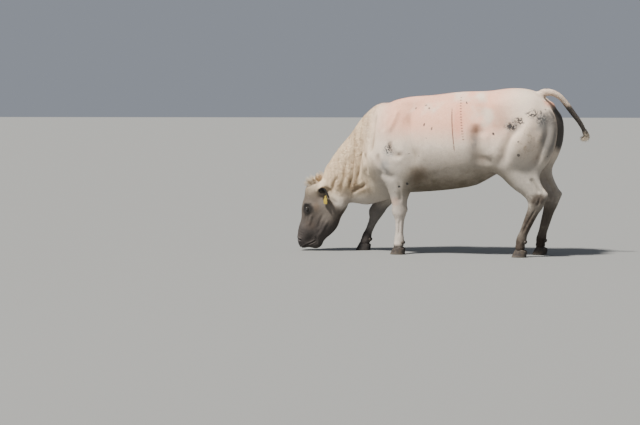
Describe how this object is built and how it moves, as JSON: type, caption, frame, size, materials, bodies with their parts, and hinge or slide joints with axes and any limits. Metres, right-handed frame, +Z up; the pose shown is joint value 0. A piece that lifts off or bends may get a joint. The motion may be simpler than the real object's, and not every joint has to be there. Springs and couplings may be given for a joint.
{
  "type": "belgian blue cow",
  "caption": "Life-size still model of a white, heavily muscled beef cow, standing and grazing with its head down and its tail swung out.",
  "frame": {"origin": "on the floor under the middle of the animal's box", "axes": "+X from the head towards the rump, +Y to her right side, +Z up"},
  "size_m": [2.6264, 0.7446, 1.4681],
  "materials": {
    "coat": "matte short hair",
    "coat_dark": "matte hair",
    "horn": "worn satin",
    "eye": "wet gloss",
    "tag": "satin"
  },
  "bodies": {
    "root": {"torso": "coat", "neck": "coat", "eye_left": "eye", "ear_left": "coat_dark", "ear_tag_left": "tag", "eye_right": "eye", "ear_right": "coat_dark", "ear_tag_right": "tag", "head": "coat", "foreleg_upper_left": "coat", "foreleg_lower_left": "coat", "claw_fore_left_inner": "horn", "dewclaw_fore_left_inner": "horn", "claw_fore_left_outer": "horn", "dewclaw_fore_left_outer": "horn", "foreleg_upper_right": "coat", "foreleg_lower_right": "coat", "claw_fore_right_inner": "horn", "dewclaw_fore_right_inner": "horn", "claw_fore_right_outer": "horn", "dewclaw_fore_right_outer": "horn", "hindleg_upper_left": "coat", "hindleg_lower_left": "coat", "claw_hind_left_inner": "horn", "dewclaw_hind_left_inner": "horn", "claw_hind_left_outer": "horn", "dewclaw_hind_left_outer": "horn", "hindleg_upper_right": "coat", "hindleg_lower_right": "coat", "claw_hind_right_inner": "horn", "dewclaw_hind_right_inner": "horn", "claw_hind_right_outer": "horn", "dewclaw_hind_right_outer": "horn", "tail_root": "coat", "tail_end": "coat_dark", "tail_switch": "coat"}
  },
  "joints": []
}
